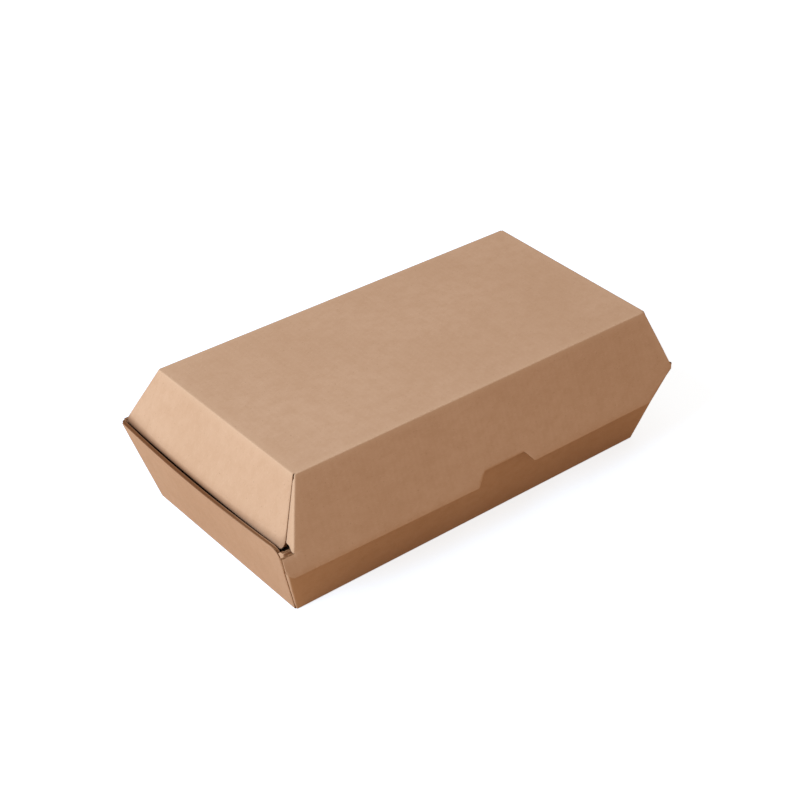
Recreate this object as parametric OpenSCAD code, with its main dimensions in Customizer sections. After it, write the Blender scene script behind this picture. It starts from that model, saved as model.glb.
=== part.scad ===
// Kraft takeaway box with a hinged lid, folded and glued from one die-cut sheet
// of thin corrugated board. Both halves flare towards the rim. The front and back
// walls carry a corner flap at each end, tucked and glued inside the end walls.
// The lid is hinged on the rear rim, and its front wall runs on past the rim as a lip.
// Origin: middle of the tray's bottom face. X runs along the box, the front faces -Y.

/* [Board] */
// Thickness of the corrugated board
board_t = 1.5; // [1.2:0.1:1.8]
// How far a glued flap presses into the wall that it is stuck to
glue_press = 0.05; // [0.03:0.01:0.1]
// Slit between a corner flap's lower edge and the panel that it isn't part of
flap_slit = 0.4; // [0.3:0.1:1]

/* [Tray] */
// Length of the bottom panel
tray_foot_l = 182; // [160:1:200]
// Depth of the bottom panel
tray_foot_d = 91; // [85:1:97]
// Length across the rim
tray_rim_l = 206; // [203:0.2:214]
// Depth across the rim
tray_rim_d = 107; // [103:1:111]
// Height of the rim
tray_h = 38; // [34:1:44]
// How far the end walls' side edges stand back from the corner, at the foot
tray_edge_foot = 1.4; // [1.2:0.1:3]
// How far the end walls' side edges stand back from the corner, at the rim
tray_edge_rim = 2.6; // [1.8:0.1:5]
// Rounding of the end walls' upper corners
tray_end_r = 4; // [1:0.5:8]

/* [Lid] */
// Height of the closed box
total_h = 63.6; // [60:0.2:70]
// Length of the top panel
lid_top_l = 182; // [160:1:190]
// Depth of the top panel
lid_top_d = 87.5; // [80:0.5:95]
// How far the end walls' side edges stand back from the corner, at the top
lid_edge_top = 1.8; // [1.8:0.1:4]
// How far the end walls' side edges stand back from the corner, at the rim
lid_edge_rim = 5.4; // [4.4:0.1:7]
// Rounding of the end walls' lower corners
lid_end_r = 4.5; // [1:0.5:6]

/* [Fits] */
// Gap between the tray's rear rim and the lid's rear wall, with the hinge line midway
hinge_gap = 0.3; // [0.2:0.05:0.6]
// Room between the tray's front rim and the lid's front wall
front_gap = 0.9; // [0.5:0.1:2]
// How far the lid's end walls reach down inside the tray
lid_dip = 0.8; // [0.4:0.1:1.2]
// Gap between the lid's end walls and the tray's end walls
side_gap = 0.35; // [0.3:0.05:1]
// Room above the tray's corner flaps, under the dipped end walls
flap_room = 0.6; // [0.4:0.1:1.5]

/* [Lip] */
// How far the lip hangs below the tray's rim
lip_h = 8.8; // [7.6:0.2:12]
// How much shorter the lip is at its left end
lip_left_rise = 1; // [0:0.1:1.6]
// How far the ear at the left end reaches past the corner
ear_reach = 6; // [3:0.5:9]
// Rounding of the ear's lower corner
ear_r = 4; // [1:0.5:6]
// How far the right end is cut back along the lower edge
right_cut = 13.5; // [4:0.5:18]
// Width of the thumb notch across its mouth
notch_mouth_w = 29.5; // [24:0.5:36]
// Width of the thumb notch across its top
notch_top_w = 21; // [16:0.5:22]
// Height of the thumb notch
notch_h = 5; // [4.4:0.1:5.6]
// Middle of the thumb notch, to the right of the box's middle
notch_x = 2.8; // [-5:0.1:5]
// Rounding of the thumb notch's corners
notch_r = 1.6; // [0.5:0.1:2]

/* [Corner flaps] */
// Length of the tray's corner flaps along the end wall
tray_flap_l = 32; // [20:1:38]
// Length of the lid's corner flaps along the end wall
lid_flap_l = 26; // [16:1:34]
// How much a flap narrows from its fold to its free edge, on each side
flap_taper = 5; // [3:0.5:8]
// Rounding of the flaps' free corners
flap_r = 3; // [1:0.5:5]
// How far from its fold a flap's rim edge keeps the rim's height
flap_shoulder = 1.2; // [0.6:0.2:1.6]
// How much lower the rest of a lid flap's rim edge is cut
lid_flap_drop = 1; // [0.5:0.1:2]

/* [Hidden] */
kraft_board = "#c39c78";
arc_steps = 6;
bend_steps = 6;
fold_steps = 4;
over = 6;
lap = 0.5;
spare = 0.1;
shaving_flare = 20;
tray_px = tray_foot_l / 2;
tray_py = tray_foot_d / 2;
tray_ax = atan((tray_rim_l - tray_foot_l) / 2 / tray_h);
tray_ay = atan((tray_rim_d - tray_foot_d) / 2 / tray_h);
hinge_z = tray_h + hinge_gap / 2;
hinge_y = reach(tray_py, tray_ay, hinge_z);
lid_h = total_h - tray_h - hinge_gap;
lid_end_h = total_h - tray_h + lid_dip;
lip_end_h = total_h - tray_h + lip_h;
lid_px = lid_top_l / 2;
lid_py = lid_top_d / 2;
lid_rim_x = inside(tray_px, tray_ax, tray_h - lid_dip) - side_gap;
lid_ax = atan((lid_rim_x - lid_px) / lid_end_h);
hinge_drop = total_h - hinge_z;
lid_spread = (hinge_y + tray_rim_d / 2 + front_gap) / 2 - lid_py;
lid_ay = atan2(lid_spread, hinge_drop) + asin(board_t / 2 / norm([hinge_drop, lid_spread]));
lid_mid_y = hinge_y - reach(lid_py, lid_ay, hinge_drop);

// Level thickness of the board through a wall that leans out by this angle.
function level_t(lean) = board_t / cos(lean);

// How far out a wall's outer face is, at this height above its panel.
function reach(foot, lean, z) = foot + z * tan(lean);

// How far out a wall's inner face is, at this height above its panel.
function inside(foot, lean, z) = reach(foot, lean, z) - level_t(lean);

// Where the outer face of a corner flap would meet the panel, one board inside the end wall.
function flap_foot(px, ax) = px - level_t(ax) + glue_press;

// An outline with each corner turned into an arc of its own radius; 0 keeps it sharp.
function rounded(points, radii) = [
    for (i = [0 : len(points) - 1])
    let (
        here = points[i],
        a = unit(points[(i + len(points) - 1) % len(points)] - here),
        b = unit(points[(i + 1) % len(points)] - here),
        half = acos(a * b) / 2,
        mid = here + unit(a + b) * radii[i] / sin(half),
        from = here + a * radii[i] / tan(half) - mid,
        to = here + b * radii[i] / tan(half) - mid
    )
    each radii[i] == 0 ? [here] : [
        for (k = [0 : arc_steps])
        mid + unit(from * (arc_steps - k) + to * k) * radii[i]
    ]
];

function unit(v) = v / norm(v);

function ray(angle) = [cos(angle), sin(angle)];

// A drawing of the box seen from its end, (y, z), run along X.
module along_x(length) {
    rotate([90, 0, 90]) linear_extrude(length, center = true) children();
}

// A drawing of the box seen from its front, (x, z), run along Y.
module along_y(length) {
    rotate([90, 0, 0]) linear_extrude(length, center = true) children();
}

// Section of a board that starts a little inside the panel, bends up at the crease,
// leans out and ends at height h.
module leaning_board(foot, lean, h) {
    crease = [inside(foot, lean, board_t), board_t];
    bend = [
        for (k = [0 : bend_steps])
        crease + board_t * ray(-90 + (90 - lean) * k / bend_steps)
    ];
    polygon([
        crease - [lap, 0],
        crease - [lap, board_t],
        each bend,
        [reach(foot, lean, h), h],
        [inside(foot, lean, h), h],
        crease
    ]);
}

// What is shaved off the sharp corner between two walls so that the board turns it in a
// bend of its own thickness. It runs along the corner from below the panel to height h.
module corner_shaving(fx, py, ax, ay, h) {
    low = [inside(fx, ax, -over), inside(py, ay, -over), -over];
    high = [inside(fx, ax, h + over), inside(py, ay, h + over), h + over];
    run = high - low;
    tilt = atan2(norm([run.x, run.y]), run.z);
    heading = atan2(run.y, run.x);
    across = [cos(tilt) * cos(heading), cos(tilt) * sin(heading), -sin(tilt)];
    along = [-sin(heading), cos(heading), 0];
    end_normal = [cos(ax), 0, -sin(ax)];
    side_normal = [0, cos(ay), -sin(ay)];
    from = atan2(end_normal * along, end_normal * across);
    to = atan2(side_normal * along, side_normal * across);
    intersection() {
        translate(low) rotate([0, tilt, heading]) linear_extrude(norm(run)) polygon([
            for (k = [0 : fold_steps]) board_t * ray(from + (to - from) * k / fold_steps),
            over * ray(to + shaving_flare),
            2 * over * ray((from + to) / 2),
            over * ray(from - shaving_flare)
        ]);
        level_slab(-2 * over, h);
    }
}

// A copy of the children in another quarter of the box.
module quarter(sx, sy) {
    mirror([sx < 0 ? 1 : 0, 0, 0]) mirror([0, sy < 0 ? 1 : 0, 0]) children();
}

// A wall on the +Y side, as wide as its two corner folds.
module plain_wall(fx, py, ax, ay, h) {
    low = reach(fx, ax, 0) + spare;
    high = reach(fx, ax, h) + spare;
    intersection() {
        along_x(4 * fx) leaning_board(py, ay, h);
        along_y(4 * py) polygon([[-low, 0], [low, 0], [high, h], [-high, h]]);
    }
}

// The two corner flaps of a wall on the +Y side, lying one board inside the end walls.
// Past the shoulder their rim edges are cut lower by the given drop.
module corner_flaps(fx, py, ax, ay, h, length, drop) {
    foot = board_t + flap_slit;
    low = inside(py, ay, foot);
    high = inside(py, ay, h);
    outline = rounded([
        [low + lap, foot],
        [high + lap, h],
        [high - flap_shoulder, h],
        [high - flap_shoulder - drop, h - drop],
        [high - length, h - drop - flap_taper],
        [low - length, foot + flap_taper]
    ], [0, 0, 0, 0, flap_r, flap_r]);
    for (sx = [-1, 1])
        quarter(sx, 1) intersection() {
            along_y(4 * py) leaning_board(fx, ax, h);
            along_x(4 * fx) polygon(outline);
        }
}

// A wall on the +Y side with its flaps, turned round its corners. The wall is the child.
module folded_side(fx, py, ax, ay, h, flap_l, flap_drop) {
    difference() {
        union() {
            children();
            corner_flaps(fx, py, ax, ay, h, flap_l, flap_drop);
        }
        for (sx = [-1, 1]) quarter(sx, 1) corner_shaving(fx, py, ax, ay, h);
    }
}

// The end walls, outermost, folded up from the panel's short edges to the height h.
// Their side edges stand back from the corners by edge_foot at the panel and by
// edge_rim at the rim's height.
module end_walls(px, py, ax, ay, h, rim, edge_foot, edge_rim, corner_r) {
    low = reach(py, ay, 0) - edge_foot;
    slope = (reach(py, ay, rim) - edge_rim - low) / rim;
    top = low + h * slope;
    outline = rounded(
        [[-low, 0], [low, 0], [top, h], [-top, h]],
        [0, 0, corner_r, corner_r]
    );
    for (sx = [-1, 1])
        quarter(sx, 1) intersection() {
            along_y(4 * py) leaning_board(px, ax, h);
            along_x(4 * px) polygon(outline);
        }
}

// The panel, with a tongue at each end that carries an end wall.
module panel(px, py, fx, ax, ay, edge_foot) {
    deep = inside(py, ay, board_t);
    tongue = py - edge_foot;
    inner_x = inside(fx, ax, board_t);
    outer_x = inside(px, ax, board_t);
    translate([-inner_x, -deep, 0]) cube([2 * inner_x, 2 * deep, board_t]);
    translate([-outer_x, -tongue, 0]) cube([2 * outer_x, 2 * tongue, board_t]);
}

// Everything between two heights.
module level_slab(low, high) {
    translate([-tray_rim_l, -tray_rim_d, low])
        cube([2 * tray_rim_l, 2 * tray_rim_d, high - low]);
}

// The lid's front wall seen from the front, (x, drop below the top panel), with the lip
// that hangs past the rim: an ear at the left end, a slanted cut at the right end and
// the thumb notch between them.
module front_outline(fx) {
    low = reach(fx, lid_ax, 0) + spare;
    corner = reach(fx, lid_ax, lid_h);
    left_end = lip_end_h - lip_left_rise;
    mouth = notch_mouth_w / 2;
    notch_top = notch_top_w / 2;
    polygon(rounded([
        [-low, 0],
        [low, 0],
        [corner + spare, lid_h],
        [corner - board_t, lid_h],
        [corner - right_cut, lip_end_h],
        [notch_x + mouth, lip_end_h],
        [notch_x + notch_top, lip_end_h - notch_h],
        [notch_x - notch_top, lip_end_h - notch_h],
        [notch_x - mouth, lip_end_h],
        [-corner - ear_reach, left_end],
        [-corner - ear_reach, lid_h],
        [-corner - spare, lid_h]
    ], [0, 0, 0, 0, notch_r, notch_r, notch_r, notch_r, notch_r, ear_r, 0, 0]));
}

module tray() {
    fx = flap_foot(tray_px, tray_ax);
    color(kraft_board) {
        panel(tray_px, tray_py, fx, tray_ax, tray_ay, tray_edge_foot);
        for (sy = [-1, 1])
            quarter(1, sy)
                folded_side(fx, tray_py, tray_ax, tray_ay, tray_h, tray_flap_l, lid_dip + flap_room)
                    plain_wall(fx, tray_py, tray_ax, tray_ay, tray_h);
        end_walls(tray_px, tray_py, tray_ax, tray_ay, tray_h, tray_h,
            tray_edge_foot, tray_edge_rim, tray_end_r);
    }
}

// Drawn like the tray, standing on its top panel, and then turned over onto it.
module lid() {
    fx = flap_foot(lid_px, lid_ax);
    color(kraft_board) translate([0, lid_mid_y, total_h]) mirror([0, 0, 1]) {
        panel(lid_px, lid_py, fx, lid_ax, lid_ay, lid_edge_top);
        folded_side(fx, lid_py, lid_ax, lid_ay, lid_h, lid_flap_l, lid_flap_drop)
            plain_wall(fx, lid_py, lid_ax, lid_ay, lid_h);
        mirror([0, 1, 0])
            folded_side(fx, lid_py, lid_ax, lid_ay, lid_h, lid_flap_l, lid_flap_drop)
                intersection() {
                    along_x(2 * tray_rim_l) leaning_board(lid_py, lid_ay, lip_end_h);
                    along_y(2 * tray_rim_d) front_outline(fx);
                }
        end_walls(lid_px, lid_py, lid_ax, lid_ay, lid_end_h, lid_h,
            lid_edge_top, lid_edge_rim, lid_end_r);
    }
}

tray();
lid();
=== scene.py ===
"""Kraft takeaway box with a hinged lid, folded and glued from one die-cut sheet of
thin corrugated board. The tray and the lid are each drawn as a folded board with an
outer liner, an inner liner and the raw cut edges between them."""

import math

import bpy
import numpy as np
from mathutils import Matrix, Vector


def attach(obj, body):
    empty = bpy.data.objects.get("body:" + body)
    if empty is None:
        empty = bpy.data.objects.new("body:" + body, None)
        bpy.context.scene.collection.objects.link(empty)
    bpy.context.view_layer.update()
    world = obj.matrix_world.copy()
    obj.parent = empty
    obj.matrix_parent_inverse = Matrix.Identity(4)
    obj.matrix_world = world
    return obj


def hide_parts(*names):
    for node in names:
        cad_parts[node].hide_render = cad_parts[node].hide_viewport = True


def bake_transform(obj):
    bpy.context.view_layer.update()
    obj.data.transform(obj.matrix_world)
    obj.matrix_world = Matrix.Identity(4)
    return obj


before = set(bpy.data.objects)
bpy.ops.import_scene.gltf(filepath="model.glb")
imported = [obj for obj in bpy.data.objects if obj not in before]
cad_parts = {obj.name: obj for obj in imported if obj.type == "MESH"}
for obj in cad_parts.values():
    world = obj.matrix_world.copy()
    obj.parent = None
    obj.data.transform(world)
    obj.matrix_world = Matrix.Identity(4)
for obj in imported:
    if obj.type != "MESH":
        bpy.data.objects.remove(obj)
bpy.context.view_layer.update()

# Tray
# The lower half: a bottom panel with four walls folded up from it, of brown board
# with a liner on both faces. The front and rear walls carry corner flaps, which are
# glued inside the end walls. Lengths are in millimetres until the mesh is made.

BOARD_T = 1.5
CREASE_R, BEAD_R = 0.6, 0.25  # radii of a crease, outside and inside
CRUSH = 0.14  # share of the board that the die presses in from each face
GLUE_PRESS = 1.1  # how far the end walls are pressed over the glued flaps
FLAP_SLIT, FOLD_SLIT = 0.4, 0.15  # under a flap, and beside an end wall's foot
FLAP_FOOT = BOARD_T + FLAP_SLIT
WEAR_REACH = 2.5
BEND_STEPS, FOLD_STEPS, CORNER_STEPS = 7, 6, 5
WALL_ROWS, PANEL_ROWS, FLAP_COLUMNS, WALL_COLUMNS = 11, 10, 8, 24
EDGE_ROW, FOLD_COLUMN, LEAST_STEP = 0.7, 0.6, 0.12
ROW_ROOM = 0.02  # share of the half width kept free before a rounded corner
FREE_EDGE_POWER = 1.5
OUTSIDE, INSIDE, CUT_EDGE = 0, 1, 2
MM_PER_M = 1000


def reach(foot, lean, z):
    """How far out a wall's outer face is at height z above its panel."""
    return foot + z * math.tan(lean)


def depth(foot, lean, z, inset):
    """How far out the plane is that lies this far inside the outer face."""
    return reach(foot, lean, z) - inset / math.cos(lean)


def smooth(t):
    """Eases from 0 to 1 as t does."""
    t = min(max(t, 0.0), 1.0)
    return t * t * (3 - 2 * t)


def corner_drop(from_side, radius):
    """How far a rounded corner has dropped at this distance from the side edge."""
    if from_side >= radius:
        return 0.0
    return radius - math.sqrt(max(radius**2 - (radius - from_side) ** 2, 0.0))


def corner_stations(radius):
    """Distances from the side edge that follow a rounded corner evenly."""
    turns = [math.pi / 2 * k / CORNER_STEPS for k in range(CORNER_STEPS + 1)]
    return [radius * (1 - math.cos(turn)) for turn in turns]


def mirrored(sx, sy, point):
    return (sx * point[0], sy * point[1], point[2])


def wear(*distances):
    """1 on a crease, down to 0 a little way from it."""
    return max(0.0, *(1 - d / WEAR_REACH for d in distances))


class Bend:
    """The crease between the panel and a wall, in section, as (outward, height)."""

    def __init__(self, foot, lean):
        deep = BOARD_T + BEAD_R
        self.turn = math.pi / 2 - lean
        self.outer = (depth(foot, lean, CREASE_R, CREASE_R), CREASE_R)
        self.inner = (depth(foot, lean, deep, deep), deep)
        self.length = self.turn * CREASE_R

    def points(self, share):
        """The outer and the inner liner at this share of the way round."""
        a = self.turn * share - math.pi / 2
        return [
            (centre[0] + r * math.cos(a), centre[1] + r * math.sin(a))
            for centre, r in ((self.outer, CREASE_R), (self.inner, BEAD_R))
        ]

    def top(self):
        """Height at which the wall's outer face starts."""
        return self.points(1)[0][1]


class CornerFold:
    """The fold between a side wall (+Y) and its corner flap (+X), both leaning out."""

    def __init__(self, flap_foot, side_foot, end_lean, side_lean):
        self.feet = (flap_foot, side_foot)
        self.leans = (end_lean, side_lean)
        run = np.array([math.tan(end_lean), math.tan(side_lean), 1.0])
        self.run = run / np.linalg.norm(run)
        self.side = np.array([0, math.cos(side_lean), -math.sin(side_lean)])
        self.end = np.array([math.cos(end_lean), 0, -math.sin(end_lean)])
        self.turn = math.acos(float(self.side @ self.end))
        self.length = self.turn * CREASE_R

    def points(self, z, share):
        """Outer and inner points at height z, from the wall (0) to the flap (1)."""
        a, b = (1 - share) * self.turn, share * self.turn
        n = (math.sin(a) * self.side + math.sin(b) * self.end) / math.sin(self.turn)
        level = n - self.run * n[2] / self.run[2]
        found = []
        for inset, r in ((CREASE_R, CREASE_R), (BOARD_T + BEAD_R, BEAD_R)):
            x = depth(self.feet[0], self.leans[0], z, inset)
            y = depth(self.feet[1], self.leans[1], z, inset)
            found.append(np.array([x, y, z]) + r * level)
        return found

    def knuckle(self, bend, turn, share):
        """The rounded lower corner, where the fold runs into the panel's crease."""
        found = []
        sections = zip(bend.points(turn), (bend.outer, bend.inner), (CREASE_R, BEAD_R))
        for k, ((y, z), centre, r) in enumerate(sections):
            x = self.points(z, 0)[k][0]
            a = share * self.turn
            out = y - centre[0]
            found.append((x + out * math.sin(a), centre[0] + out * math.cos(a), z))
        return found


class Board:
    """A folded board, as a grid of stations with a point on the outer liner, one on
    the inner liner and their place in the flat sheet."""

    def __init__(self, rows, cols):
        self.outer = np.zeros((rows, cols, 3))
        self.inner = np.zeros((rows, cols, 3))
        self.flat = np.zeros((rows, cols, 2))
        self.worn = np.zeros((rows, cols))
        # Painted shade where the end walls' free edges meet the other half's rim.
        self.crease_wear_and_painted_shade = np.zeros((rows, cols))
        self.used = np.zeros((rows - 1, cols - 1), bool)

    def put(self, i, j, outer, inner, flat, worn):
        self.outer[i, j] = outer
        self.inner[i, j] = inner
        self.flat[i, j] = flat
        self.worn[i, j] = worn

    def crush_edges(self):
        """The die presses the board thinner along its cut edges."""
        around = np.zeros(self.worn.shape, int)
        for i, j in np.argwhere(self.used):
            around[i : i + 2, j : j + 2] += 1
        edge = (around > 0) & (around < 4)
        through = (self.inner - self.outer)[edge] * CRUSH
        self.outer[edge] += through
        self.inner[edge] -= through

    def faces(self):
        """Corners, material slot and depth through the board of each face."""
        rows, cols = self.worn.shape
        other = rows * cols
        for i, j in np.argwhere(self.used):
            a = i * cols + j
            b, c, d = a + 1, a + 1 + cols, a + cols
            yield (a, d, c, b), OUTSIDE, (0, 0, 0, 0)
            yield (a + other, b + other, c + other, d + other), INSIDE, (1, 1, 1, 1)
            joined = (
                i > 0 and self.used[i - 1, j],
                j < cols - 2 and self.used[i, j + 1],
                i < rows - 2 and self.used[i + 1, j],
                j > 0 and self.used[i, j - 1],
            )
            for kept, (p, q) in zip(joined, ((a, b), (b, c), (c, d), (d, a))):
                if not kept:
                    yield (p, q, q + other, p + other), CUT_EDGE, (0, 0, 1, 1)

    def build(self, name, place, turned_over=False):
        """Makes the object. place moves the points to where the board belongs."""
        self.crush_edges()
        both = np.concatenate([self.outer.reshape(-1, 3), self.inner.reshape(-1, 3)])
        both = place(both)
        stations = self.worn.size
        faces = list(self.faces())
        if turned_over:
            faces = [(f[::-1], slot, d[::-1]) for f, slot, d in faces]
        kept = sorted({v for face, _, _ in faces for v in face})
        index = {v: k for k, v in enumerate(kept)}
        mesh = bpy.data.meshes.new(name)
        mesh.from_pydata(
            [both[v] / MM_PER_M for v in kept],
            [],
            [[index[v] for v in face] for face, _, _ in faces],
        )
        flat = self.flat.reshape(-1, 2) / MM_PER_M
        sheet_uv = mesh.uv_layers.new(name="sheet").data
        edge_uv = mesh.uv_layers.new(name="edge").data
        corners = [(v, d) for face, _, ds in faces for v, d in zip(face, ds)]
        for k, (v, through) in enumerate(corners):
            sheet_uv[k].uv = flat[v % stations]
            edge_uv[k].uv = (through, 0)
        # The crease marks are wear along the folds; the second set is painted shade at the
        # end walls' free edges.
        for label, marks in (("crease", self.worn), ("crease_wear_and_painted_shade", self.crease_wear_and_painted_shade)):
            marks = marks.reshape(-1)
            mesh.attributes.new(label, "FLOAT", "POINT").data.foreach_set(
                "value", [marks[v % stations] for v in kept]
            )
        sharp = set()
        for polygon, (_, slot, _) in zip(mesh.polygons, faces):
            polygon.material_index = slot
            polygon.use_smooth = True
            if slot == CUT_EDGE:
                sharp.update(polygon.edge_keys)
        for edge in mesh.edges:
            edge.use_edge_sharp = edge.key in sharp
        board = bpy.data.objects.new(name, mesh)
        bpy.context.scene.collection.objects.link(board)
        return board


class HalfBox:
    """The tray or the lid, drawn standing on its panel. px and py are the panel's
    half lengths, ax and ay the lean of the end and the side walls. front and rear say
    how far the end walls' side edges stand back from the corner, at the panel and at
    the rim, and the radius of their free corners."""

    # rub_h says how far up from the end walls' free edges the painted seam shade reaches.
    def __init__(
        self, px, py, ax, ay, rim, end_h, flap_l, flap_drop, front, rear, rub_h, curl_r=0
    ):
        self.px, self.py, self.ax, self.ay = px, py, ax, ay
        self.rim, self.end_h = rim, end_h
        self.flap_l, self.flap_drop = flap_l, flap_drop
        self.flap_x = px - BOARD_T / math.cos(ax) + GLUE_PRESS
        self.side_edges = {-1: front, 1: rear}
        self.rub_h, self.curl_r = rub_h, curl_r
        self.fold = CornerFold(self.flap_x, py, ax, ay)
        self.side_bend = Bend(py, ay)
        self.end_bend = Bend(px, ax)

    def side_rows(self):
        """Heights of a side wall's rows, from the top of its bend to the rim."""
        low, high = FLAP_FOOT + EDGE_ROW, self.rim - EDGE_ROW
        between = [low + (high - low) * k / WALL_ROWS for k in range(WALL_ROWS + 1)]
        return [self.side_bend.top(), FLAP_FOOT] + between + [self.rim]

    def flap_columns(self):
        """Columns over a corner flap, as distances from its fold."""
        near = [self.flap_l - e for e in corner_stations(FLAP_R)]
        first = [FOLD_COLUMN, FLAP_SHOULDER, FLAP_SHOULDER + self.flap_drop]
        step = (near[-1] - first[-1]) / FLAP_COLUMNS
        between = [first[-1] + step * k for k in range(1, FLAP_COLUMNS)]
        return sorted([0.0] + first + between + near)

    def panel_rows(self):
        """Rows over the panel and the end walls, as shares of their half width."""
        rows = {0.0}
        for side in (-1, 1):
            top = self.end_y(self.end_h, side)
            near = [1 - e / top for e in corner_stations(self.side_edges[side][2])]
            step = (near[-1] - ROW_ROOM) / PANEL_ROWS
            even = [k * step for k in range(PANEL_ROWS + 1)]
            rows |= {side * share for share in even + near}
        return sorted(rows)

    def end_y(self, z, side):
        """The end wall's side edge at height z, at the front (-1) or the rear (1)."""
        foot, rim, _ = self.side_edges[side]
        low = self.py - foot
        return low + z * (reach(self.py, self.ay, self.rim) - rim - low) / self.rim

    def end_points(self, share_up, share_y):
        """Outer and inner point of the end wall, and its length up from the bend."""
        side = -1 if share_y < 0 else 1
        from_side = self.end_y(self.end_h, side) * (1 - abs(share_y))
        top = self.end_h - corner_drop(from_side, self.side_edges[side][2])
        low = self.end_bend.top()
        z = low + share_up * (top - low)
        x, y = reach(self.px, self.ax, z), share_y * self.end_y(z, side)
        height, lean = z, self.ax
        if self.curl_r:
            turn = CURL_TURN * (1 - ((y - CURL_MIDDLE) / CURL_SPAN) ** 2)
            at_rim = self.pulled_in(turn - LID_DIP / self.curl_r)
            x += at_rim * (z / self.end_h) ** BOW_POWER
            turn -= (self.end_h - z) / math.cos(self.ax) / self.curl_r
            lean -= max(turn, 0)
            x -= self.pulled_in(turn)
            height += self.curl_r * (math.sin(self.ax) - math.sin(lean))
            height -= self.curl_r * (self.ax - lean) * math.cos(self.ax)
        inner = (x - BOARD_T * math.cos(lean), y, height + BOARD_T * math.sin(lean))
        return (x, y, height), inner, (z - low) / math.cos(self.ax)

    def pulled_in(self, turn):
        """How far a curl that turns by this angle draws the free edge in."""
        turn = max(turn, 0)
        drawn = turn * math.sin(self.ax) + math.cos(self.ax) - math.cos(self.ax - turn)
        return self.curl_r * drawn

    def rub(self, share_up, share_y):
        """Painted shade: dark brown at the end walls' free edges, more towards the rear,
        for the seam between lid and tray.
        """
        above = (1 - share_up) * self.end_h - (LID_DIP if self.curl_r else 0)
        towards_rear = PAINTED_SHADE_FRONT + (1 - PAINTED_SHADE_FRONT) * smooth(share_y + PAINTED_SHADE_FADE)
        return smooth(1 - above / self.rub_h) * towards_rear

    def board(self, wall_columns, front_rows=0):
        """The whole folded board. front_rows more rows are left free for a lip, and
        the columns over the walls are shares of their half length."""
        flaps = self.flap_columns()
        n_flap, n_wall = len(flaps) - 1, len(wall_columns)
        start = n_flap + FOLD_STEPS
        end = start + n_wall - 1
        self.wall = [(start + k, c) for k, c in enumerate(wall_columns)]
        folds, tabs = {}, {}
        for sx, edge in ((-1, start), (1, end)):
            folds[sx] = [(edge + sx * k, k / FOLD_STEPS) for k in range(1, FOLD_STEPS + 1)]
            edge += sx * FOLD_STEPS
            tabs[sx] = [(edge + sx * k, flaps[k]) for k in range(1, n_flap + 1)]
        self.left = folds[-1] + tabs[-1]

        heights, panel = self.side_rows(), self.panel_rows()
        walls = len(heights) - 2
        first = front_rows + len(heights) - 1 + BEND_STEPS
        last = first + len(panel) + 1
        n_rows = last + BEND_STEPS + len(heights)
        sheet = Board(n_rows, 2 * start + n_wall)
        self.lay_panel(sheet, first, panel, folds, tabs)
        for side, row in ((-1, first), (1, last)):
            self.lay_side_bend(sheet, row, side, folds)
            self.lay_side_wall(sheet, row + side * BEND_STEPS, side, heights, folds, tabs)

        sheet.used[front_rows:, start:end] = True
        sheet.used[first + 1 : last - 1, :] = True
        sheet.used[front_rows : front_rows + walls, :] = True
        sheet.used[n_rows - 1 - walls :, :] = True
        knuckles = slice(start - FOLD_STEPS, end + FOLD_STEPS)
        sheet.used[front_rows + walls : first, knuckles] = True
        sheet.used[last : n_rows - 1 - walls, knuckles] = True
        return sheet

    def lay_panel(self, sheet, first, panel, folds, tabs):
        """The panel's rows, with the end walls that go on past its short edges."""
        (yo, _), (yi, _) = self.side_bend.outer, self.side_bend.inner
        xo, xi = self.fold.points(0, 0)[0][0], self.fold.points(BOARD_T, 0)[1][0]
        shares = [share * (1 - FOLD_SLIT / yo) for share in panel]
        for n, share in enumerate([-1.0] + shares + [1.0]):
            i = first + n
            for j, c in self.wall:
                worn = wear(yo * (1 - abs(share)), self.end_bend.outer[0] - abs(c * xo))
                place = (c * xo, share * yo)
                sheet.put(i, j, (*place, 0), (c * xi, share * yi, BOARD_T), place, worn)
            if n in (0, len(panel) + 1):
                continue
            side = -1 if share < 0 else 1
            for sx in (-1, 1):
                for k, (j, _) in enumerate(folds[sx]):
                    turn = k / (FOLD_STEPS - 1)
                    (ox, oz), (ix, iz) = self.end_bend.points(turn)
                    y = panel[n - 1] * self.end_y(oz, side)
                    oy = share * yo * (1 - turn) + y * turn
                    iy = share * yi * (1 - turn) + y * turn
                    u = sx * (self.end_bend.outer[0] + turn * self.end_bend.length)
                    outer, inner = (sx * ox, oy, oz), (sx * ix, iy, iz)
                    sheet.put(i, j, outer, inner, (u, share * yo), 1.0)
                for j, distance in tabs[sx]:
                    up = end_station(distance / self.flap_l)
                    outer, inner, length = self.end_points(up, panel[n - 1])
                    u = sx * (self.end_bend.outer[0] + self.end_bend.length + length)
                    outer, inner = mirrored(sx, 1, outer), mirrored(sx, 1, inner)
                    sheet.put(i, j, outer, inner, (u, outer[1]), wear(length))
                    # Painted shade: dark brown at the end walls' free edges.
                    sheet.crease_wear_and_painted_shade[i, j] = self.rub(up, panel[n - 1])

    def lay_side_bend(self, sheet, row, side, folds):
        """The long crease, with a knuckle at each end under the corner folds."""
        for n in range(BEND_STEPS + 1):
            turn = n / BEND_STEPS
            (yo, zo), (yi, zi) = self.side_bend.points(turn)
            xo, xi = self.fold.points(zo, 0)[0][0], self.fold.points(zi, 0)[1][0]
            i = row + side * n
            v = side * (self.side_bend.outer[0] + turn * self.side_bend.length)
            for j, c in self.wall if n else ():
                outer, inner = (c * xo, side * yo, zo), (c * xi, side * yi, zi)
                sheet.put(i, j, outer, inner, (c * xo, v), 1.0)
            for sx in (-1, 1):
                for j, share in folds[sx]:
                    outer, inner = (
                        mirrored(sx, side, point)
                        for point in self.fold.knuckle(self.side_bend, turn, share)
                    )
                    u = sx * (xo + share * self.fold.length)
                    sheet.put(i, j, outer, inner, (u, v), 1.0)

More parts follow.
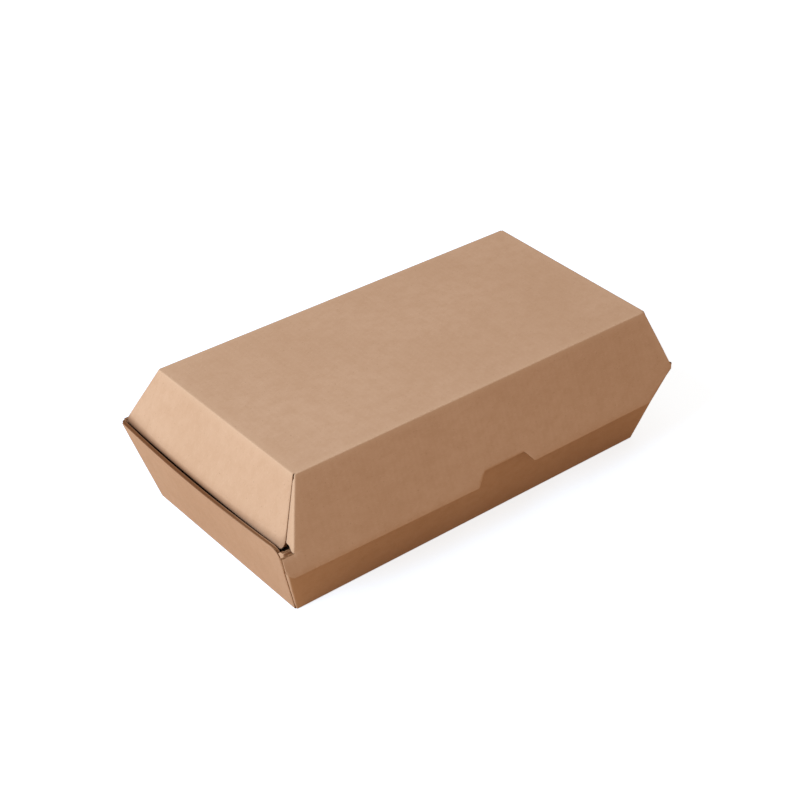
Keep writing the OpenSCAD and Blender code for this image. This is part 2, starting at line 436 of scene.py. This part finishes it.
    def lay_side_wall(self, sheet, row, side, heights, folds, tabs):
        """A front or rear wall, its corner folds and its two corner flaps."""
        bend = self.side_bend
        low = bend.top()
        for n, z in enumerate(heights):
            i = row + n * side
            up = (z - low) / math.cos(self.ay)
            v = side * (bend.outer[0] + bend.length + up)
            xo, xi = (p[0] for p in self.fold.points(z, 0))
            yo = reach(self.py, self.ay, z)
            yi = yo - BOARD_T / math.cos(self.ay)
            for j, c in self.wall:
                outer, inner = (c * xo, side * yo, z), (c * xi, side * yi, z)
                sheet.put(i, j, outer, inner, (c * xo, v), wear(up, xo * (1 - abs(c))))
            share_up = (z - FLAP_FOOT) / (self.rim - FLAP_FOOT)
            for sx in (-1, 1):
                for j, share in folds[sx] if n else ():
                    outer, inner = (
                        mirrored(sx, side, point) for point in self.fold.points(z, share)
                    )
                    u = sx * (xo + share * self.fold.length)
                    sheet.put(i, j, outer, inner, (u, v), 1.0)
                for j, e in tabs[sx]:
                    taper = FLAP_TAPER * e / self.flap_l
                    taper += corner_drop(self.flap_l - e, FLAP_R)
                    cut = min(max(e - FLAP_SHOULDER, 0.0), self.flap_drop)
                    foot, top = FLAP_FOOT + taper, self.rim - cut - taper
                    zf = foot + share_up * (top - foot)
                    y = self.fold.points(zf, 1)[0][1] - e
                    x = reach(self.flap_x, self.ax, zf)
                    outer = mirrored(sx, side, (x, y, zf))
                    inner = mirrored(sx, side, (x - BOARD_T / math.cos(self.ax), y, zf))
                    flat = (sx * (xo + self.fold.length + e), v + side * (zf - z))
                    sheet.put(i, j, outer, inner, flat, wear(e))


def end_station(share):
    """Columns up an end wall lie closer together towards its free edge."""
    return 1 - (1 - share) ** FREE_EDGE_POWER


def wall_shares(half_length, extra=()):
    """Columns over a wall, finer at the corners and at the given distances."""
    shares = {k / WALL_COLUMNS for k in range(WALL_COLUMNS)}
    shares |= {1 - EDGE_ROW / half_length, 1.0}
    shares = {-s for s in shares} | shares | {x / half_length for x in extra}
    kept = []
    for share in sorted(shares):
        if not kept or share - kept[-1] > LEAST_STEP / half_length:
            kept.append(share)
    kept[-1] = 1.0
    return kept


def bow_ends(points, amount, rise):
    """End walls bow outward in the middle, most at the free edge (rise 1)."""
    moved = points.copy()
    x, y = points[:, 0], points[:, 1]
    at_end = np.clip((np.abs(x) - BOW_START) / BOW_RAMP, 0, 1)
    at_end = at_end * at_end * (3 - 2 * at_end)
    across = np.clip(1 - (y / BOW_SPAN) ** 2, 0, 1)
    upward = np.clip(rise, 0, 1) ** BOW_POWER
    moved[:, 0] += np.sign(x) * amount * at_end * across * upward
    return moved


# The board's finish: brown recycled liner with short pale and dark fibres on both
# faces, a little duller inside. The die-cut edges show the two liners and the fluted
# sheet between them. Noise scales count per metre of the flat sheet.

FLUTE_PITCH, FLUTE_SWING = 2.6, 0.33
# How dark the painted seam shade gets at most.
PAINTED_SHADE_MOST = 0.85


def paint(r, g, b):
    """An sRGB colour, 0 to 255, as scene-linear RGBA."""
    parts = [c / 255 for c in (r, g, b)]
    return tuple(
        c / 12.92 if c <= 0.04045 else ((c + 0.055) / 1.055) ** 2.4 for c in parts
    ) + (1.0,)


class Nodes:
    """Short calls that add nodes to a tree and link them."""

    def __init__(self, tree):
        self.tree = tree
        tree.nodes.clear()

    def add(self, kind, inputs=None, **settings):
        node = self.tree.nodes.new(kind)
        for key, value in settings.items():
            setattr(node, key, value)
        for key, value in (inputs or {}).items():
            self.feed(node.inputs[key], value)
        return node

    def feed(self, socket, value):
        if isinstance(value, bpy.types.NodeSocket):
            self.tree.links.new(value, socket)
        else:
            socket.default_value = value

    def calc(self, operation, a, b=0.0):
        """A Math node's result."""
        node = self.add("ShaderNodeMath", {0: a, 1: b}, operation=operation)
        return node.outputs[0]

    def ramp(self, value, low, high, to_low=0.0, to_high=1.0):
        """Eases from one value to another as the input goes from low to high."""
        ends = {"From Min": low, "From Max": high, "To Min": to_low, "To Max": to_high}
        node = self.add(
            "ShaderNodeMapRange",
            {"Value": value, **ends},
            interpolation_type="SMOOTHSTEP",
        )
        return node.outputs["Result"]

    def mix(self, share, a, b):
        node = self.add("ShaderNodeMix", data_type="RGBA")
        self.feed(node.inputs[0], share)
        self.feed(node.inputs[6], a)
        self.feed(node.inputs[7], b)
        return node.outputs[2]

    def noise(self, place, scale, detail, rough):
        parts = {"Vector": place, "Scale": scale, "Detail": detail, "Roughness": rough}
        return self.add("ShaderNodeTexNoise", parts).outputs["Fac"]

    def turned(self, place, angle, stretch):
        """The flat sheet turned and squeezed, for noise that runs one way."""
        parts = {"Vector": place, "Rotation": (0, 0, angle), "Scale": (1, stretch, 1)}
        return self.add("ShaderNodeMapping", parts).outputs[0]


def group(name, takes, gives):
    """A node group with these sockets, as (tree, its input and output nodes)."""
    tree = bpy.data.node_groups.new(name, "ShaderNodeTree")
    for in_out, sockets in (("INPUT", takes), ("OUTPUT", gives)):
        for label, kind in sockets.items():
            tree.interface.new_socket(label, in_out=in_out, socket_type="NodeSocket" + kind)
    t = Nodes(tree)
    return t, t.add("NodeGroupInput").outputs, t.add("NodeGroupOutput").inputs


# The brown of the painted seam shade.
PAINTED_SHADE_BROWN = paint(104, 66, 40)
FLECK_BROWN = paint(112, 82, 58)
PULP_DARK, PULP_PALE = paint(140, 104, 76), paint(172, 136, 105)
# The hollows between flute and liners are painted this dark brown as shade.
PAINTED_HOLLOW_SHADE = paint(116, 84, 59)

t, given, made = group("flutes", {"Sheet": "Vector"}, {"Wave": "Float"})
along = t.add("ShaderNodeSeparateXYZ", {0: given["Sheet"]}).outputs[0]
turns = t.calc("MULTIPLY", along, 2 * math.pi * MM_PER_M / FLUTE_PITCH)
t.feed(made["Wave"], t.calc("SINE", turns))
flutes = t.tree

t, given, made = group(
    "kraft_paper",
    {"Sheet": "Vector", "Wear": "Float", "PaintedShade": "Float", "Paper": "Color", "Dark": "Color",
     "Fibre": "Color", "Mottling": "Float"},
    {"Color": "Color", "Roughness": "Float", "Height": "Float"},
)
sheet = given["Sheet"]
cloud = t.noise(sheet, 22, 4, 0.55)
mottle = t.noise(t.turned(sheet, 0.0, 1.4), 170, 4, 0.6)
fibres = t.calc(
    "MULTIPLY",
    t.noise(t.turned(sheet, 0.5, 7.0), 620, 3, 0.6),
    t.noise(t.turned(sheet, -0.7, 6.0), 540, 3, 0.6),
)
flecks = t.ramp(t.noise(sheet, 1500, 1, 0.4), 0.7, 0.76, 0.0, 0.3)
stain = t.calc("MULTIPLY", t.ramp(cloud, 0.3, 0.7), given["Mottling"])
grain = t.calc("MULTIPLY", t.ramp(mottle, 0.35, 0.72), given["Mottling"])
colour = t.mix(stain, given["Paper"], given["Dark"])
colour = t.mix(grain, colour, given["Dark"])
colour = t.mix(t.ramp(fibres, 0.27, 0.4, 0.0, 0.35), colour, given["Fibre"])
colour = t.mix(flecks, colour, FLECK_BROWN)
# Paler fibres where the creases are worn.
crease_wear_and_painted_shade = t.calc("MULTIPLY", given["Wear"], t.ramp(mottle, 0.3, 0.7, 0.1, 0.32))
colour = t.mix(crease_wear_and_painted_shade, colour, given["Fibre"])
# Painted shade: dark brown along the end walls' free edges.
t.feed(made["Color"], t.mix(given["PaintedShade"], colour, PAINTED_SHADE_BROWN))
t.feed(made["Roughness"], t.ramp(fibres, 0.1, 0.45, 0.92, 0.8))
wave = t.add("ShaderNodeGroup", node_tree=flutes)
t.feed(wave.inputs["Sheet"], sheet)
height = t.calc("MULTIPLY", wave.outputs["Wave"], 0.14)
height = t.calc("ADD", height, t.calc("MULTIPLY", mottle, 0.55))
height = t.calc("ADD", height, t.calc("MULTIPLY", fibres, 0.9))
height = t.calc("ADD", height, t.calc("MULTIPLY", t.noise(sheet, 30, 2, 0.5), 2.0))
t.feed(made["Height"], height)
kraft_paper = t.tree


def finish_with(t, shader_inputs, height, strength, distance):
    """The board's shader and its bump, to the material's output."""
    lift = {"Height": height, "Strength": strength, "Distance": distance}
    normal = t.add("ShaderNodeBump", lift).outputs[0]
    shader = t.add("ShaderNodeBsdfPrincipled", {**shader_inputs, "Normal": normal})
    t.add("ShaderNodeOutputMaterial", {0: shader.outputs[0]})


def kraft_liner(name, paper, dark, fibre, mottling):
    """The outer or the inner liner of the board."""
    material = bpy.data.materials.new(name)
    material.use_nodes = True
    t = Nodes(material.node_tree)
    face = t.add("ShaderNodeGroup", node_tree=kraft_paper)
    worn = t.add("ShaderNodeAttribute", attribute_name="crease").outputs["Fac"]
    t.feed(face.inputs["Sheet"], t.add("ShaderNodeUVMap", uv_map="sheet").outputs[0])
    t.feed(face.inputs["Wear"], worn)
    # Painted seam shade, read from the mesh attribute.
    rub = t.add("ShaderNodeAttribute", attribute_name="crease_wear_and_painted_shade").outputs["Fac"]
    t.feed(face.inputs["PaintedShade"], t.calc("MULTIPLY", rub, PAINTED_SHADE_MOST))
    face.inputs["Paper"].default_value = paper
    face.inputs["Dark"].default_value = dark
    face.inputs["Fibre"].default_value = fibre
    face.inputs["Mottling"].default_value = mottling
    finish_with(
        t,
        {"Base Color": face.outputs["Color"], "Roughness": face.outputs["Roughness"],
         "Specular IOR Level": 0.22},
        face.outputs["Height"],
        0.35,
        0.0001,
    )
    return material


def kraft_cut_edge(name):
    """The raw edge: two liners and the flute as a wave between them, with painted shade in
    the hollows between.
    """
    material = bpy.data.materials.new(name)
    material.use_nodes = True
    t = Nodes(material.node_tree)
    sheet = t.add("ShaderNodeUVMap", uv_map="sheet").outputs[0]
    edge = t.add("ShaderNodeUVMap", uv_map="edge").outputs[0]
    through = t.add("ShaderNodeSeparateXYZ", {0: edge}).outputs[0]
    wave = t.add("ShaderNodeGroup", node_tree=flutes)
    t.feed(wave.inputs["Sheet"], sheet)
    middle = t.calc("ADD", t.calc("MULTIPLY", wave.outputs["Wave"], FLUTE_SWING), 0.5)
    off_flute = t.calc("ABSOLUTE", t.calc("SUBTRACT", through, middle))
    off_middle = t.calc("ABSOLUTE", t.calc("SUBTRACT", through, 0.5))
    medium = t.ramp(off_flute, 0.08, 0.16, 1.0, 0.0)
    liners = t.ramp(off_middle, 0.33, 0.38)
    board = t.calc("MAXIMUM", medium, liners)
    ragged = t.noise(sheet, 900, 3, 0.6)
    pulp = t.mix(t.ramp(ragged, 0.3, 0.7), PULP_DARK, PULP_PALE)
    # Painted shade fills the hollows; the liners and the flute show the pulp.
    colour = t.mix(board, PAINTED_HOLLOW_SHADE, pulp)
    # Painted seam shade also darkens the cut edges at the end walls' free edges, the tray's
    # rim among them.
    rub = t.add("ShaderNodeAttribute", attribute_name="crease_wear_and_painted_shade").outputs["Fac"]
    colour = t.mix(t.calc("MULTIPLY", rub, PAINTED_SHADE_MOST), colour, PAINTED_SHADE_BROWN)
    finish_with(
        t,
        {"Base Color": colour, "Roughness": 0.95, "Specular IOR Level": 0.1},
        t.calc("ADD", board, t.calc("MULTIPLY", ragged, 0.6)),
        0.7,
        0.0003,
    )
    return material


kraft_finish = (
    kraft_liner(
        "kraft_outside", paint(192, 162, 137), paint(181, 149, 122),
        paint(206, 180, 154), 0.5),
    kraft_liner(
        "kraft_inside", paint(188, 156, 129), paint(176, 142, 114),
        paint(203, 175, 148), 0.6),
    kraft_cut_edge("kraft_cut_edge"),
)


def dress(board):
    for material in kraft_finish:
        board.data.materials.append(material)


FLAP_TAPER, FLAP_R, FLAP_SHOULDER = 5.0, 3.0, 1.2
TOTAL_H, TRAY_H = 63.6, 38.0
TRAY_FOOT_L, TRAY_FOOT_D = 182.0, 91.0
TRAY_RIM_L, TRAY_RIM_D = 206.0, 107.0
LID_DIP, FLAP_ROOM = 1.2, 0.6
TRAY_BOW = 1.8
BOW_START, BOW_RAMP, BOW_SPAN, BOW_POWER = 84, 6, 54, 1.6
# Painted seam shade: its height at the tray's rim edge, its share at the front, and its
# fade from rear to front.
TRAY_RIM_PAINTED_SHADE, PAINTED_SHADE_FRONT, PAINTED_SHADE_FADE = 0.1, 0.5, 0.9

tray_half = HalfBox(
    px=TRAY_FOOT_L / 2,
    py=TRAY_FOOT_D / 2,
    ax=math.atan((TRAY_RIM_L - TRAY_FOOT_L) / 2 / TRAY_H),
    ay=math.atan((TRAY_RIM_D - TRAY_FOOT_D) / 2 / TRAY_H),
    rim=TRAY_H,
    end_h=TRAY_H,
    flap_l=32.0,
    flap_drop=LID_DIP + FLAP_ROOM,
    front=(0.7, 2.6, 4.0),
    rear=(0.6, 0.9, 1.2),
    # Painted shade: dark brown along the tray's rim edge.
    rub_h=TRAY_RIM_PAINTED_SHADE,
)
tray_rim_x = tray_half.fold.points(TRAY_H, 0)[0][0]
tray_board = tray_half.board(wall_shares(tray_rim_x)).build(
    "tray_board", lambda points: bow_ends(points, TRAY_BOW, points[:, 2] / TRAY_H)
)
dress(tray_board)
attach(tray_board, "tray")
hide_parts("tray")

# Lid
# The upper half, of the same sheet. Its end walls tuck inside the tray's and curl in
# at their free edges. Its front wall runs on past the rim as the lip, with an ear at
# the left end, the thumb notch and a slanted right end.

HINGE_GAP, SIDE_GAP, FRONT_GAP = 0.3, 0.35, 0.9
LID_TOP_L, LID_TOP_D = 182.0, 87.5
LIP_H, LIP_LEFT_RISE, LIP_SLIT = 8.8, 1.0, 0.3
EAR_REACH, EAR_R, RIGHT_CUT = 4.95, 4.0, 16.1
NOTCH_MOUTH, NOTCH_TOP, NOTCH_H, NOTCH_X, NOTCH_R = 29.5, 21.0, 5.0, 2.8, 1.6
CURL_R, CURL_TURN, CURL_MIDDLE, CURL_SPAN = 6.0, 1.2, 5.0, 70.0
# How far up the lid's end walls the painted seam shade reaches.
LID_PAINTED_SHADE = 4.5
LID_BOW = TRAY_BOW + 0.25
LIP_ROWS, NOTCH_STEPS = 7, 6
LEAST_LIP = 0.05

hinge_z = TRAY_H + HINGE_GAP / 2
hinge_y = reach(tray_half.py, tray_half.ay, hinge_z)
lid_h = TOTAL_H - TRAY_H - HINGE_GAP
lid_end_h = TOTAL_H - TRAY_H + LID_DIP
lip_end_h = TOTAL_H - TRAY_H + LIP_H
lid_rim_x = depth(tray_half.px, tray_half.ax, TRAY_H - LID_DIP, BOARD_T) - SIDE_GAP
hinge_drop = TOTAL_H - hinge_z
lid_spread = (hinge_y + TRAY_RIM_D / 2 + FRONT_GAP) / 2 - LID_TOP_D / 2
lid_lean = math.atan2(lid_spread, hinge_drop)
lid_lean += math.asin(BOARD_T / 2 / math.hypot(hinge_drop, lid_spread))
lid_mid_y = hinge_y - reach(LID_TOP_D / 2, lid_lean, hinge_drop)

lid_half = HalfBox(
    px=LID_TOP_L / 2,
    py=LID_TOP_D / 2,
    ax=math.atan((lid_rim_x - LID_TOP_L / 2) / lid_end_h),
    ay=lid_lean,
    rim=lid_h,
    end_h=lid_end_h,
    flap_l=26.0,
    flap_drop=1.0,
    front=(0.7, 4.4, 4.5),
    rear=(0.6, 0.9, 1.5),
    rub_h=LID_PAINTED_SHADE,
    curl_r=CURL_R,
)
lip_corner = reach(lid_half.flap_x, lid_half.ax, lid_h)
lip_width = lid_half.fold.points(lid_h, 0)[0][0]


def rounded_path(corners, radius):
    """A path through the corners, each but the first and last turned into an arc."""
    corners = [np.array(corner, float) for corner in corners]
    path = [corners[0]]
    for before, here, after in zip(corners, corners[1:], corners[2:]):
        a = (before - here) / np.linalg.norm(before - here)
        b = (after - here) / np.linalg.norm(after - here)
        half_angle = math.acos(float(a @ b)) / 2
        centre = here + (a + b) / np.linalg.norm(a + b) * radius / math.sin(half_angle)
        back = radius / math.tan(half_angle)
        start, end = here + a * back - centre, here + b * back - centre
        for k in range(NOTCH_STEPS + 1):
            spoke = start * (NOTCH_STEPS - k) + end * k
            path.append(centre + spoke / np.linalg.norm(spoke) * radius)
    return np.array(path + [corners[-1]])


notch = [(NOTCH_X + x, z) for x, z in (
    (-NOTCH_MOUTH / 2, lip_end_h),
    (-NOTCH_TOP / 2, lip_end_h - NOTCH_H),
    (NOTCH_TOP / 2, lip_end_h - NOTCH_H),
    (NOTCH_MOUTH / 2, lip_end_h),
)]
ear_end = -lip_corner - EAR_REACH
lip_rise = LIP_LEFT_RISE / (notch[0][0] - ear_end)
lip_path = rounded_path(
    [(-lip_width, lip_end_h - lip_rise * (notch[0][0] + lip_width))]
    + notch
    + [(lip_corner - RIGHT_CUT, lip_end_h), (lip_width, lid_h)],
    NOTCH_R,
)


def lay_lip(board):
    """The lip's rows, from its lower edge up to the slit under the corner fold."""
    bend = lid_half.side_bend
    y_rim = -reach(lid_half.py, lid_half.ay, lid_h)
    thick = BOARD_T / math.cos(lid_half.ay)
    top = lid_h + LIP_SLIT
    stations = []
    for j, c in lid_half.wall:
        x = c * lip_width
        low = float(np.interp(x, lip_path[:, 0], lip_path[:, 1]))
        stations.append((j, x, max(low, top)))
    for k, (j, _) in enumerate(lid_half.left, 1):
        out = math.sin(math.pi / 2 * k / len(lid_half.left))
        x = -lip_width + (ear_end + lip_width) * out
        low = lip_end_h - lip_rise * (notch[0][0] - x) - corner_drop(x - ear_end, EAR_R)
        stations.append((j, x, low))
    for i in range(LIP_ROWS + 1):
        for j, x, low in stations:
            z = top + (1 - i / LIP_ROWS) * (low - top)
            y = y_rim - (z - lid_h) * math.tan(lid_half.ay)
            up = (z - bend.top()) / math.cos(lid_half.ay)
            flat = (x, -(bend.outer[0] + bend.length + up))
            board.put(i, j, (x, y, z), (x, y + thick, z), flat, 0.0)
    start = lid_half.wall[0][0]
    stop = [j for j, x, low in stations if x > 0 and low > top + LEAST_LIP][-1] + 1
    board.used[: LIP_ROWS + 1, :] = False
    board.used[:LIP_ROWS, :stop] = True
    board.used[LIP_ROWS, start:stop] = True


def place_lid(points):
    """Turns the lid over onto the tray."""
    placed = points.copy()
    placed[:, 1] += lid_mid_y
    placed[:, 2] = TOTAL_H - placed[:, 2]
    return bow_ends(placed, LID_BOW, points[:, 2] / (TOTAL_H - TRAY_H))


lid_sheet = lid_half.board(
    wall_shares(lip_width, [x for x, _ in lip_path[1:-1]]), LIP_ROWS + 1
)
lay_lip(lid_sheet)
lid_board = lid_sheet.build("lid_board", place_lid, turned_over=True)
dress(lid_board)
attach(lid_board, "lid")
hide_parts("lid")

# Hinge crease
# The scored line along the rear rim, where the one sheet runs from the tray up into
# the lid. In the real box it is no separate piece and bends as the lid opens; here it
# is one fixed strip.

CREASE_ROWS, CREASE_COLUMNS = 9, 30
CREASE_LAP, CREASE_T = 0.7, 1.4
CREASE_SHORT, CREASE_INSET = 0.6, 0.04

crease_x = tray_rim_x - CREASE_SHORT
crease_columns = [k / CREASE_COLUMNS for k in range(-CREASE_COLUMNS, CREASE_COLUMNS + 1)]
crease_board = Board(CREASE_ROWS, len(crease_columns))
for i in range(CREASE_ROWS):
    z = TRAY_H - CREASE_LAP + i / (CREASE_ROWS - 1) * (HINGE_GAP + 2 * CREASE_LAP)
    drop = TOTAL_H - max(z, TRAY_H + HINGE_GAP)
    tray_y = reach(tray_half.py, tray_half.ay, min(z, TRAY_H))
    lid_y = lid_mid_y + reach(lid_half.py, lid_half.ay, drop)
    share = smooth((z - TRAY_H) / HINGE_GAP)
    y = (1 - share) * tray_y + share * lid_y - CREASE_INSET
    for j, c in enumerate(crease_columns):
        x = c * crease_x
        crease_board.put(i, j, (x, y, z), (x, y - CREASE_T, z), (x, TRAY_RIM_D + z), 1.0)
crease_board.used[:] = True
hinge_crease = crease_board.build("hinge_crease", lambda points: points)
dress(hinge_crease)
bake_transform(hinge_crease)

# Floor
# A plain white table. It shows white to the camera apart from the box's soft shadow,
# and it gives the box a warm bounce, as the table in the photograph does.

FLOOR_HALF = 4

around = ((-1, -1), (1, -1), (1, 1), (-1, 1))
floor_corners = [(x * FLOOR_HALF, y * FLOOR_HALF, 0) for x, y in around]
floor_mesh = bpy.data.meshes.new("floor")
floor_mesh.from_pydata(floor_corners, [], [(0, 1, 2, 3)])
floor = bpy.data.objects.new("floor", floor_mesh)
bpy.context.scene.collection.objects.link(floor)


def seen_or_lit(t, lit, seen, output):
    """The first shader lights the box, the second is what the camera sees."""
    camera_ray = t.add("ShaderNodeLightPath").outputs["Is Camera Ray"]
    both = t.add("ShaderNodeMixShader", {0: camera_ray, 1: lit, 2: seen})
    t.add(output, {0: both.outputs[0]})


floor_finish = bpy.data.materials.new("floor")
floor_finish.use_nodes = True
t = Nodes(floor_finish.node_tree)
bounce = t.add("ShaderNodeBsdfDiffuse", {"Color": (0.6, 0.4, 0.24, 1)})
table = t.add("ShaderNodeBsdfDiffuse", {"Color": (0.5, 0.69, 0.97, 1)})
glow = t.add("ShaderNodeEmission", {"Color": (1, 1, 1, 1), "Strength": 0.74})
white = t.add("ShaderNodeAddShader", {0: table.outputs[0], 1: glow.outputs[0]})
seen_or_lit(t, bounce.outputs[0], white.outputs[0], "ShaderNodeOutputMaterial")
floor.data.materials.append(floor_finish)

# Light
# One large soft lamp from the left, cool like daylight, and a weak warm fill from all
# round. The camera sees the fill as white.

FILL = 0.56
KEY_POWER, KEY_SIZE, KEY_FAR = 23, 0.9, 1.4
KEY_FROM = Vector((-0.88, 0.06, 0.62)).normalized()
KEY_AIM = Vector((0, 0, 0.035))

studio = bpy.data.worlds.new("studio")
bpy.context.scene.world = studio
studio.use_nodes = True
t = Nodes(studio.node_tree)
fill = t.add("ShaderNodeBackground", {"Color": (1.0, 0.72, 0.51, 1), "Strength": FILL})
white = t.add("ShaderNodeBackground", {"Color": (1, 1, 1, 1), "Strength": 1.0})
seen_or_lit(t, fill.outputs[0], white.outputs[0], "ShaderNodeOutputWorld")

lamp = bpy.data.lights.new("key", "AREA")
lamp.shape = "DISK"
lamp.size = KEY_SIZE
lamp.energy = KEY_POWER
lamp.color = (0.74, 0.88, 1.0)
key = bpy.data.objects.new("key", lamp)
bpy.context.scene.collection.objects.link(key)
key.location = KEY_AIM + KEY_FROM * KEY_FAR
key.rotation_mode = "QUATERNION"
key.rotation_quaternion = KEY_FROM.to_track_quat("Z", "Y")

# Camera
# It stands above the box's front left corner, as the photograph's did. Place and aim
# were fitted to the corners of the box in the photograph.

CAMERA_AT = (-0.40534, -0.46679, 0.45733)
CAMERA_LOOK = (0.53873, 0.62444, -0.56555)
CAMERA_RIGHT = (0.76688, -0.6414, 0.02233)

lens = bpy.data.cameras.new("camera")
lens.lens = 82.06
lens.sensor_width = 36
lens.clip_start = 0.05
camera = bpy.data.objects.new("camera", lens)
bpy.context.scene.collection.objects.link(camera)
look = Vector(CAMERA_LOOK).normalized()
right = Vector(CAMERA_RIGHT).normalized()
turn = Matrix((right, right.cross(look), -look)).transposed().to_4x4()
camera.matrix_world = Matrix.Translation(CAMERA_AT) @ turn
bpy.context.scene.camera = camera
bpy.context.scene.view_settings.view_transform = "Standard"
